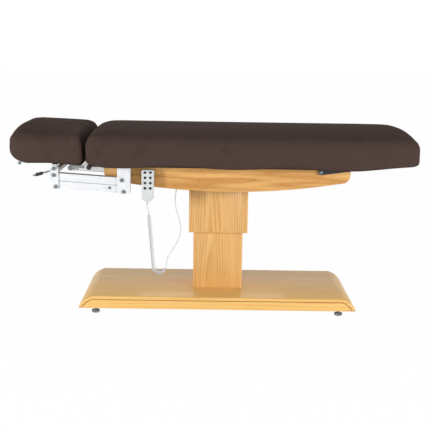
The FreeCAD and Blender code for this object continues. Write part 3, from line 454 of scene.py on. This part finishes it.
# Height up to which the cloth is held, in roundings of the lower edge
HELD_HEIGHT = 1.6
CLOTH_FRAMES = 20
LEAST_MOVE = 1e-9
# Room for the filling at the sides and over the crown, in swells
SIDE_ROOM = 0.5
CREST_ROOM = 1.5
HEAD_VOXEL_SHARE = 0.75
# Folds of the head pad, measured from its joint end and from its outer end: two places in plan, then width and depth,
# in metres
JOINT_FOLDS = [((0.102, -0.09), (0.052, -0.015), 0.010, 0.006),
               ((0.052, -0.015), (0.028, -0.115), 0.009, 0.005),
               ((0.075, 0.12), (0.02, 0.20), 0.010, 0.005)]
CORNER_FOLDS = [((0.012, side * 0.2), (0.075, side * 0.2 * 0.8), 0.012, 0.008) for side in (-1, 1)]


def round_edges(block, wanted, radius, segments):
    """Bevels, in edit mode, the edges whose two ends pass the test."""
    bpy.ops.mesh.select_all(action="DESELECT")
    bpy.ops.object.mode_set(mode="OBJECT")
    for edge in block.data.edges:
        edge.select = wanted(*[block.data.vertices[i].co for i in edge.vertices])
    bpy.ops.object.mode_set(mode="EDIT")
    bpy.ops.mesh.bevel(offset=radius, segments=segments, affect="EDGES")


def foam_block(name, low, high, corners):
    """A foam block: upright corners of each end, upper edges and lower edges rounded in turn."""
    s = sizes()
    bpy.ops.object.select_all(action="DESELECT")
    bpy.ops.mesh.primitive_cube_add(size=1, location=(Vector(low) + Vector(high)) / 2)
    block = bpy.context.object
    block.name = name
    block.scale = Vector(high) - Vector(low)
    bpy.ops.object.transform_apply(location=True, rotation=True, scale=True)
    bpy.ops.object.mode_set(mode="EDIT")
    bpy.ops.mesh.select_mode(type="EDGE")
    for x, radius in zip((low[0], high[0]), corners):
        round_edges(block, lambda a, b: abs(a.z - b.z) > MM and abs(a.x - x) + abs(b.x - x) < MM, radius,
                    segments=6)
    round_edges(block, lambda a, b: min(a.z, b.z) > high[2] - MM, s.pad_top_edge, segments=7)
    round_edges(block, lambda a, b: max(a.z, b.z) < low[2] + MM, s.pad_bottom_edge, segments=4)
    bpy.ops.mesh.select_all(action="SELECT")
    bpy.ops.mesh.normals_make_consistent(inside=False)
    bpy.ops.object.mode_set(mode="OBJECT")
    return block


def shape_pad(pad, low, high, ends):
    """Narrows, bows, leans, lifts and rolls the ends, crowns the top, and tucks the sides in and sags them."""
    s = sizes()
    places = points_of(pad)
    half = (high[1] - low[1]) / 2
    height = np.clip((places[:, 2] - low[2]) / (high[2] - low[2]), 0, 1)
    across = 1 - np.clip(np.abs(places[:, 1]) / half, 0, 1) ** 2
    fall = np.zeros(len(places))
    width = np.full(len(places), half)
    rise = np.zeros(len(places))
    for out, run, end in zip((-1, 1), (places[:, 0] - low[0], high[0] - places[:, 0]), ends):
        left = np.clip(1 - run / end.reach, 0, 1)
        width -= end.draw * (1 - (1 - left ** END_SQUARENESS) ** (1 / END_SQUARENESS))
        fall += s.pad_roll * left ** 2
        rise += end.lift * np.clip(1 - run / end.lift_reach, 0, 1) ** LIFT_EASE
        places[:, 0] += out * (end.bow * across + end.lean * height ** 2) * left
    places[:, 1] *= width / half * (1 - FOOT_TUCK * (1 - height) ** 2)
    places[:, 2] += (s.pad_crown * across - fall) * height ** CROWN_EASE + rise * (1 - height) ** 2
    overhang = np.clip((np.abs(places[:, 1]) - OVERHANG_START * half) / (OVERHANG_RUN * half), 0, 1)
    wave = 0.5 + 0.5 * np.cos(2 * math.pi * (places[:, 0] - s.sag_place) / s.sag_pitch)
    places[:, 2] -= s.sag_depth * wave * overhang * (1 - height) ** SAG_EASE
    set_points(pad, places)


def crease(pad, lines, level):
    """Presses folds into the top of a pad, each along a line between two places in its plan."""
    places = points_of(pad)
    top = np.clip((places[:, 2] - level) / FOLD_FADE, 0, 1)
    for (x0, y0), (x1, y1), width, depth in lines:
        run = np.array((x1 - x0, y1 - y0))
        share = np.clip(((places[:, :2] - (x0, y0)) @ run) / (run @ run), 0, 1)
        off = np.linalg.norm(places[:, :2] - (x0, y0) - share[:, None] * run, axis=1)
        places[:, 2] -= depth * np.exp(-(off / width) ** 2) * top
    set_points(pad, places)


def blow_up(pad, low, cap):
    """Cloth under light pressure, held at its foot, with every point's move capped."""
    before = points_of(pad)
    foot = pad.vertex_groups.new(name="foot")
    for vertex in pad.data.vertices:
        rise = (vertex.co.z - low[2]) / (sizes().pad_bottom_edge * HELD_HEIGHT)
        if rise < 1:
            foot.add([vertex.index], 1 - max(0.0, rise) ** 2, "REPLACE")
    cloth = pad.modifiers.new("filling", "CLOTH")
    leather = cloth.settings
    leather.quality = 5
    leather.mass = 0.5
    leather.tension_stiffness = 22
    leather.compression_stiffness = 18
    leather.bending_stiffness = 3
    leather.use_pressure = True
    leather.uniform_pressure_force = 4
    leather.vertex_group_mass = "foot"
    leather.effector_weights.gravity = 0
    cloth.collision_settings.use_collision = False
    scene = bpy.context.scene
    for number in range(1, CLOTH_FRAMES + 1):
        scene.frame_set(number)
    apply_modifiers(pad)
    scene.frame_set(1)
    pad.vertex_groups.clear()
    move = points_of(pad) - before
    far = np.linalg.norm(move, axis=1, keepdims=True)
    set_points(pad, before + move * (cap * np.tanh(far / cap) / np.maximum(far, LEAST_MOVE)))


def upholstered(name, low, high, ends, corners, voxel, folds=()):
    """A leather-covered foam pad: block, even mesh, crown, swelling, folds, then one subdivision."""
    pad = foam_block(name, low, high, corners)
    remesh = pad.modifiers.new("even mesh", "REMESH")
    remesh.mode = "VOXEL"
    remesh.voxel_size = voxel
    remesh.use_smooth_shade = True
    relax = pad.modifiers.new("relax", "SMOOTH")
    relax.iterations = 4
    relax.factor = 0.5
    apply_modifiers(pad)
    shape_pad(pad, low, high, ends)
    blow_up(pad, low, sizes().pad_swell)
    crease(pad, folds, (low[2] + high[2]) / 2)
    finer = pad.modifiers.new("finer", "SUBSURF")
    finer.levels = 1
    finer.render_levels = 1
    apply_modifiers(pad)
    smooth(pad, degrees=60)
    dress(pad, "brown_leather")
    return pad


def pad_box(low, high, left, right):
    """The box of a CAD pad, less the room that the crown and the filling swell into, and its ends moved."""
    give = sizes().pad_swell * SIDE_ROOM
    crest = high.z - sizes().pad_crown - sizes().pad_swell * CREST_ROOM
    return (low.x + left, low.y + give, low.z), (high.x - right, high.y - give, crest)


def cut_at(pad, x, name):
    """Divides a pad at a plane across it and returns the part beyond as a piece of its own."""
    other = pad.copy()
    other.data = pad.data.copy()
    other.name = name
    bpy.context.scene.collection.objects.link(other)
    for piece, keep_low in ((pad, True), (other, False)):
        select_only(piece)
        bpy.ops.object.mode_set(mode="EDIT")
        bpy.ops.mesh.select_all(action="SELECT")
        bpy.ops.mesh.bisect(plane_co=(x, 0, 0), plane_no=(1, 0, 0), clear_inner=not keep_low, clear_outer=keep_low)
        bpy.ops.object.mode_set(mode="OBJECT")
    return other


class SPA_OT_mattress(bpy.types.Operator):
    """Back, seat and leg upholstery: one leather mattress, cut in two across the middle of the seat"""
    bl_idname = "spa_table.mattress"
    bl_label = "Mattress"

    def execute(self, context):
        s = sizes()
        low, high = pad_box(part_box("back_pad")[0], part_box("leg_pad")[1], -s.joint_stretch, -s.end_stretch)
        ends = (PadEnd(s.joint_reach, s.joint_draw, s.joint_lift, s.joint_lift_reach, 0, s.joint_lean),
                PadEnd(s.foot_reach, s.foot_draw, s.foot_lift, s.foot_lift_reach, s.foot_bow, 0))
        back = upholstered("mattress_back", low, high, ends, (s.joint_corner, s.pad_end), s.pad_voxel)
        seat = (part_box("seat_pad")[0].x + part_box("seat_pad")[1].x) / 2
        leg = cut_at(back, seat, "mattress_leg")
        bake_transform(back)
        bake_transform(leg)
        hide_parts("back_pad", "hip_bend_pad", "seat_pad")
        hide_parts("knee_bend_pad", "leg_pad")
        return {"FINISHED"}


class SPA_OT_head_pad(bpy.types.Operator):
    """Headrest upholstery"""
    bl_idname = "spa_table.head_pad"
    bl_label = "Head pad"

    def execute(self, context):
        s = sizes()
        axis = Vector(JOINTS["headrest_tilt"]["pos_m"])
        rest = Matrix.Translation(axis) @ Matrix.Rotation(s.head_tilt, 4, "Y") @ Matrix.Translation(-axis)
        level = [rest.inverted() @ v.co for v in frame["nodes"]["head_pad"].data.vertices]
        corners = [Vector([pick(p[i] for p in level) for i in range(3)]) for pick in (min, max)]
        low, high = pad_box(*corners, s.head_give, s.joint_give)
        ends = (PadEnd(s.head_reach, s.head_draw, s.head_lift, s.head_lift_reach, s.head_bow, s.head_lean),
                PadEnd(s.joint_reach, s.joint_draw, 0, s.joint_lift_reach, 0, 0))
        folds = [((high[0] - x0, y0), (high[0] - x1, y1), *cut) for (x0, y0), (x1, y1), *cut in JOINT_FOLDS]
        folds += [((low[0] + x0, y0), (low[0] + x1, y1), *cut) for (x0, y0), (x1, y1), *cut in CORNER_FOLDS]
        pad = upholstered("headrest_cushion", low, high, ends, (s.pad_end, s.joint_corner),
                          s.pad_voxel * HEAD_VOXEL_SHARE, folds)
        pad.data.transform(rest)
        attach(pad, "head")
        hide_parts("head_pad")
        return {"FINISHED"}


# Wood

WOODEN = (("base_panel", "base_wood"), ("column_lower_cover", "column_wood"), ("base_edge_frame", "base_wood"),
          ("column_upper_cover", "column_wood"), ("apron_near", "apron_wood"), ("apron_far", "apron_wood"),
          ("apron_end_rails", "rail_wood"))
# Grooves of the upper cover's right side, in strip widths from its corner
RIGHT_STRIPS = (1.3, 2.6)
LEG_DECK_NARROWING = 0.3
HEAD_DECK_NARROWING = 0.1
# How far a face of the groove looks down, and the least and most that it looks to the front or back
# Faces of the groove that pass these tests get the painted shade
GROOVE_DOWN = 0.1
GROOVE_OUT = (0.12, 0.99)


class SPA_OT_woodwork(bpy.types.Operator):
    """Base, column covers and aprons in lacquered ash, and the wrapped boards under the pads"""
    bl_idname = "spa_table.woodwork"
    bl_label = "Woodwork"

    def execute(self, context):
        s = sizes()
        for node, finish in WOODEN:
            edge = s.base_edge if node == "base_panel" else s.wood_edge
            piece = softened(node, edge, finish)
            low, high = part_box(node)
            if node == "base_panel":
                # The groove under the base's top layer gets painted shade
                self.groove(piece)
            elif node == "column_lower_cover":
                pull_face(piece, 2, s.cover_rest)
                scribe(piece, [low.x + s.strip_width])
            elif node == "column_upper_cover":
                scribe(piece, [low.x + s.strip_width] + [high.x - n * s.strip_width for n in RIGHT_STRIPS])
        for node in ("seat_deck", "back_deck", "leg_deck", "head_deck"):
            piece = softened(node, s.wood_edge, "brown_leather")
            if node == "leg_deck":
                pull_face(piece, 0, s.deck_recess, s.deck_corner, LEG_DECK_NARROWING)
            elif node == "head_deck":
                pull_face(piece, 0, -s.head_deck_recess, s.deck_corner, HEAD_DECK_NARROWING)
        return {"FINISHED"}

    def groove(self, panel):
        """Paints shade onto the under edges of the base's top layer, where they form a groove, front and back: a
        darker copy of the base wood.
        """
        panel.data.materials.append(FINISHES["groove_wood"])
        least, most = GROOVE_OUT
        for face in panel.data.polygons:
            if face.normal.z < -GROOVE_DOWN and least < abs(face.normal.y) < most:
                face.material_index = 1


# Metal and plastic

# Place of a stop stud from the lower arms' rear pivot, along the table and up
STUD_AHEAD = 0.065
STUD_RISE = 0.016
SHELL_EDGE_SHARE = 0.5
SHELL_EDGE_LIMIT = 50
CHIN_TAPER = 0.32


class SPA_OT_metalwork(bpy.types.Operator):
    """Headrest mechanism, hinges, frames and feet"""
    bl_idname = "spa_table.metalwork"
    bl_label = "Metalwork"

    def execute(self, context):
        edge = sizes().metal_edge
        for node in ("headrest_clevises", "headrest_upper_arms", "headrest_lower_arms", "headrest_carrier",
                     "carrier_outer_plates"):
            piece = softened(node, edge, "white_steel")
            if node in ("headrest_upper_arms", "headrest_lower_arms"):
                deepen(piece, sizes().arm_deepening * (-1 if "upper" in node else 1))
        softened("leg_hinge_arms", edge, "black_steel")
        self.studs(edge)
        for row in frame["record"]["subparts"]:
            node = frame["nodes"][row["node"]]
            if not node.hide_render and row["material_slot"] in FINISHES:
                dress(node, row["material_slot"])
        return {"FINISHED"}

    def studs(self, edge):
        """Stop studs on the outer faces of the lower arms, a little before their rear pivots."""
        s = sizes()
        x, _, z = JOINTS["headrest_lower_arm"]["pos_m"]
        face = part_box("headrest_lower_arms")[1].y
        for side, name in ((-1, "stop_stud_near"), (1, "stop_stud_far")):
            bpy.ops.object.select_all(action="DESELECT")
            bpy.ops.mesh.primitive_cylinder_add(vertices=32, radius=s.stud_diameter / 2, depth=s.stud_height,
                                                location=(x - STUD_AHEAD, side * (face + s.stud_height / 2),
                                                          z + STUD_RISE),
                                                rotation=(math.pi / 2, 0, 0))
            stud = bpy.context.object
            stud.name = name
            bpy.ops.object.transform_apply(location=True, rotation=True, scale=True)
            bevel = stud.modifiers.new("dome", "BEVEL")
            bevel.width = edge * 2
            bevel.segments = 3
            apply_modifiers(stud)
            smooth(stud, degrees=40)
            dress(stud, "bright_steel")
            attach(stud, "lower_arms")


class SPA_OT_handset(bpy.types.Operator):
    """Handset shells with softened moulded edges"""
    bl_idname = "spa_table.handset"
    bl_label = "Handset"

    def execute(self, context):
        for node in ("handset_front_shell", "handset_back_shell"):
            edge = sizes().metal_edge * SHELL_EDGE_SHARE
            self.chin(softened(node, edge, "grey_abs", limit=SHELL_EDGE_LIMIT))
        return {"FINISHED"}

    def chin(self, shell):
        """Tapers the foot of the handset towards its cord."""
        low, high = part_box("handset_front_shell")
        start = low.z + sizes().chin_height
        select_only(shell)
        bpy.ops.object.mode_set(mode="EDIT")
        bpy.ops.mesh.select_all(action="SELECT")
        bpy.ops.mesh.bisect(plane_co=(0, 0, start), plane_no=(0, 0, 1))
        bpy.ops.object.mode_set(mode="OBJECT")
        places = points_of(shell)
        middle = (low.x + high.x) / 2
        drop = np.clip((start - places[:, 2]) / sizes().chin_height, 0, 1)
        places[:, 0] = middle + (places[:, 0] - middle) * (1 - CHIN_TAPER * drop)
        set_points(shell, places)


# Cord: the lead, the curly stretch and the tail, on one spline, in millimetres. The tail goes on from the last curl

LEAD = [(-306, -290, 527), (-306, -290, 518), (-303, -290, 508.5), (-299.5, -290, 499.5), (-298.7, -290, 490.2)]
TAIL = [(-216.8, -290, 263), (-208, -290, 290), (-190, -289, 319), (-170, -287, 349), (-156, -283, 383),
        (-152, -275, 417), (-158, -263, 450), (-170, -248, 482), (-180, -233, 515), (-181, -221, 548),
        (-177, -213, 578), (-174.5, -210.5, 604)]
COIL_TURNS = 42
COIL_PITCH = 8.0
COIL_RADIUS = 6.4
COIL_RAMP = 2 * COIL_PITCH
COIL_LEAD = 4.6
COIL_BEND = 29.0
COIL_HEADING = math.radians(4.9)
COIL_TURNING = math.radians(170)
POINTS_PER_TURN = 14


def coil_points():
    """Helix along an axis that hangs down, then turns up in a bend; the radius eases in and out."""
    length_along = COIL_TURNS * COIL_PITCH
    straight = length_along - COIL_BEND * COIL_TURNING
    heading = Vector((math.sin(COIL_HEADING), 0, -math.cos(COIL_HEADING)))
    aside = Vector((math.cos(COIL_HEADING), 0, math.sin(COIL_HEADING)))
    start = Vector(LEAD[-1]) + heading * COIL_LEAD
    points = []
    for step in range(COIL_TURNS * POINTS_PER_TURN + 1):
        s = step * COIL_PITCH / POINTS_PER_TURN
        turned = max(0.0, s - straight) / COIL_BEND
        inward = aside * math.cos(turned) - heading * math.sin(turned)
        middle = start + heading * min(s, straight)
        if turned:
            middle = start + heading * straight + (aside - inward) * COIL_BEND
        ramp = min(1.0, s / COIL_RAMP, (length_along - s) / COIL_RAMP)
        radius = COIL_RADIUS * ramp * ramp * (3 - 2 * ramp) / math.cos(math.pi / POINTS_PER_TURN)
        angle = 2 * math.pi * s / COIL_PITCH
        points.append(middle + inward * radius * math.cos(angle) + Vector((0, radius * math.sin(angle), 0)))
    return points


class SPA_OT_cord(bpy.types.Operator):
    """Curly handset cord from the strain relief to the control box"""
    bl_idname = "spa_table.cord"
    bl_label = "Handset cord"

    def execute(self, context):
        route = [Vector(p) for p in LEAD[:-1]] + coil_points() + [Vector(p) for p in TAIL]
        curve = bpy.data.curves.new("handset_cord", "CURVE")
        curve.dimensions = "3D"
        spline = curve.splines.new("NURBS")
        spline.points.add(len(route) - 1)
        for point, place in zip(spline.points, route):
            point.co = (*(place * MM), 1)
        spline.order_u = 3
        spline.use_endpoint_u = True
        spline.resolution_u = 6
        curve.bevel_depth = sizes().cord_diameter / 2
        curve.bevel_resolution = 2
        curve.use_fill_caps = True
        cord = bpy.data.objects.new("handset_cord", curve)
        context.scene.collection.objects.link(cord)
        dress(cord, "pale_cord")
        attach(cord, "lift")
        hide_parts("cord_lead", "cord_coil", "cord_tail")
        return {"FINISHED"}


# Stage

CAMERA_PLACE = (-0.0293, -4.5288, 1.2826)
CAMERA_YAW = math.radians(0.443)
CAMERA_PITCH = math.radians(10.678)
CAMERA_ROLL = math.radians(0.901)
CAMERA_LENS = 79.09
CAMERA_SENSOR = 36
# Name, place, aim, width and height in metres, and watts
SOFTBOXES = (("front_left_softbox", (-3.6, -2.9, 1.15), (-0.2, 0, 0.6), 1.0, 1.0, 112),
             ("front_right_softbox", (3.6, -2.9, 1.15), (0.3, 0, 0.6), 1.0, 1.0, 107),
             ("overhead_softbox", (0, 0.4, 3.4), (0, 0, 0.5), 2.6, 1.6, 9),
             ("front_high_softbox", (0, -3.6, 1.9), (0, 0, 0.4), 1.4, 0.8, 8),
             ("back_softbox", (0, 3.4, 2.8), (0, 0, 0.5), 2.0, 1.0, 17))
WORLD_FILL = 0.28
FLOOR_SIZE = 60
FLOOR_SHADE = 0.98
FLOOR_FIBRE = 60 * MM
# Share of plain white in what the camera sees of the floor
FLOOR_WHITE = 0.985


def add_camera():
    yaw, pitch, roll = CAMERA_YAW, CAMERA_PITCH, CAMERA_ROLL
    level = Vector((math.sin(yaw), math.cos(yaw), 0))
    side = Vector((math.cos(yaw), -math.sin(yaw), 0))
    ahead = level * math.cos(pitch) - Vector((0, 0, math.sin(pitch)))
    above = level * math.sin(pitch) + Vector((0, 0, math.cos(pitch)))
    right = side * math.cos(roll) + above * math.sin(roll)
    up = above * math.cos(roll) - side * math.sin(roll)
    camera = bpy.data.objects.new("camera", bpy.data.cameras.new("camera"))
    camera.data.lens = CAMERA_LENS
    camera.data.sensor_width = CAMERA_SENSOR
    turn = Matrix((right, up, -ahead)).transposed().to_4x4()
    camera.matrix_world = Matrix.Translation(CAMERA_PLACE) @ turn
    bpy.context.scene.collection.objects.link(camera)
    bpy.context.scene.camera = camera


def add_softbox(name, place, aim, width, height, power):
    lamp = bpy.data.lights.new(name, "AREA")
    lamp.shape = "RECTANGLE"
    lamp.size = width
    lamp.size_y = height
    lamp.energy = power
    holder = bpy.data.objects.new(name, lamp)
    holder.location = place
    holder.rotation_euler = (Vector(aim) - Vector(place)).to_track_quat("-Z", "Y").to_euler()
    bpy.context.scene.collection.objects.link(holder)


def background_rays(tree):
    """One for the rays that show the background: from the camera, through glass or off a gloss."""
    path = add(tree, "ShaderNodeLightPath")
    seen = add(tree, "ShaderNodeMath", {0: path.outputs["Is Camera Ray"], 1: path.outputs["Is Transmission Ray"]},
               operation="MAXIMUM")
    mirrored = add(tree, "ShaderNodeMath", {0: seen.outputs[0], 1: path.outputs["Is Glossy Ray"]},
                   operation="MAXIMUM")
    return mirrored.outputs[0]


def add_world():
    """White to the camera and in reflections, a soft even fill for the rest."""
    world = bpy.data.worlds.new("studio")
    bpy.context.scene.world = world
    world.use_nodes = True
    tree = world.node_tree
    tree.nodes.clear()
    strength = add(tree, "ShaderNodeMapRange", {"Value": background_rays(tree)}, To_Min=WORLD_FILL)
    sky = add(tree, "ShaderNodeBackground", {"Strength": strength.outputs[0]}, Color=(1, 1, 1, 1))
    add(tree, "ShaderNodeOutputWorld", {"Surface": sky.outputs[0]})


def floor_material():
    """Seamless studio paper: white to the camera and in reflections, with a trace of the shadow left in it."""
    material, tree, shader, place = new_material("studio_paper_white")
    fibre = add(tree, "ShaderNodeTexNoise", {"Vector": place}, Scale=1 / FLOOR_FIBRE)
    paper = colours().floor
    colour_between(tree, shader, fibre.outputs[0], [v * FLOOR_SHADE for v in paper], paper)
    set_inputs(shader, Roughness=0.9)
    glow = add(tree, "ShaderNodeEmission", Color=(1, 1, 1, 1), Strength=1.0)
    share = add(tree, "ShaderNodeMath", {0: background_rays(tree), 1: FLOOR_WHITE}, operation="MULTIPLY")
    blend = add(tree, "ShaderNodeMixShader", {0: share.outputs[0], 1: shader.outputs[0], 2: glow.outputs[0]})
    output = next(n for n in tree.nodes if n.bl_idname == "ShaderNodeOutputMaterial")
    tree.links.new(blend.outputs[0], output.inputs["Surface"])
    return material


class SPA_OT_stage(bpy.types.Operator):
    """Camera, soft boxes, world and floor"""
    bl_idname = "spa_table.stage"
    bl_label = "Stage"

    def execute(self, context):
        bpy.ops.object.select_all(action="DESELECT")
        bpy.ops.mesh.primitive_plane_add(size=FLOOR_SIZE, location=(0, 0, 0))
        floor = context.object
        floor.name = "studio_floor"
        floor.data.materials.append(floor_material())
        for softbox in SOFTBOXES:
            add_softbox(*softbox)
        add_world()
        add_camera()
        context.scene.view_settings.view_transform = "Standard"
        return {"FINISHED"}


class SPA_PT_panel(bpy.types.Panel):
    """Lists the table's pieces in the order they are made"""
    bl_idname = "SPA_PT_panel"
    bl_label = "Spa table"
    bl_space_type = "VIEW_3D"
    bl_region_type = "UI"
    bl_category = "Spa table"

    def draw(self, context):
        for operator in OPERATORS:
            self.layout.operator(operator.bl_idname)
        for group in (context.scene.spa_table_sizes, context.scene.spa_table_colours):
            box = self.layout.box()
            for name in group.__annotations__:
                box.prop(group, name)


OPERATORS = (SPA_OT_stage, SPA_OT_cord, SPA_OT_mattress, SPA_OT_head_pad, SPA_OT_woodwork, SPA_OT_handset,
             SPA_OT_metalwork)
CLASSES = (SpaTableSizes, SpaTableColours, *OPERATORS, SPA_PT_panel)


def register():
    for cls in CLASSES:
        bpy.utils.register_class(cls)
    bpy.types.Scene.spa_table_sizes = bpy.props.PointerProperty(type=SpaTableSizes)
    bpy.types.Scene.spa_table_colours = bpy.props.PointerProperty(type=SpaTableColours)


def unregister():
    del bpy.types.Scene.spa_table_colours
    del bpy.types.Scene.spa_table_sizes
    for cls in reversed(CLASSES):
        bpy.utils.unregister_class(cls)


def main():
    register()
    finish_library()
    for operator in OPERATORS:
        group, name = operator.bl_idname.split(".")
        getattr(getattr(bpy.ops, group), name)()


if __name__ == "__main__":
    main()
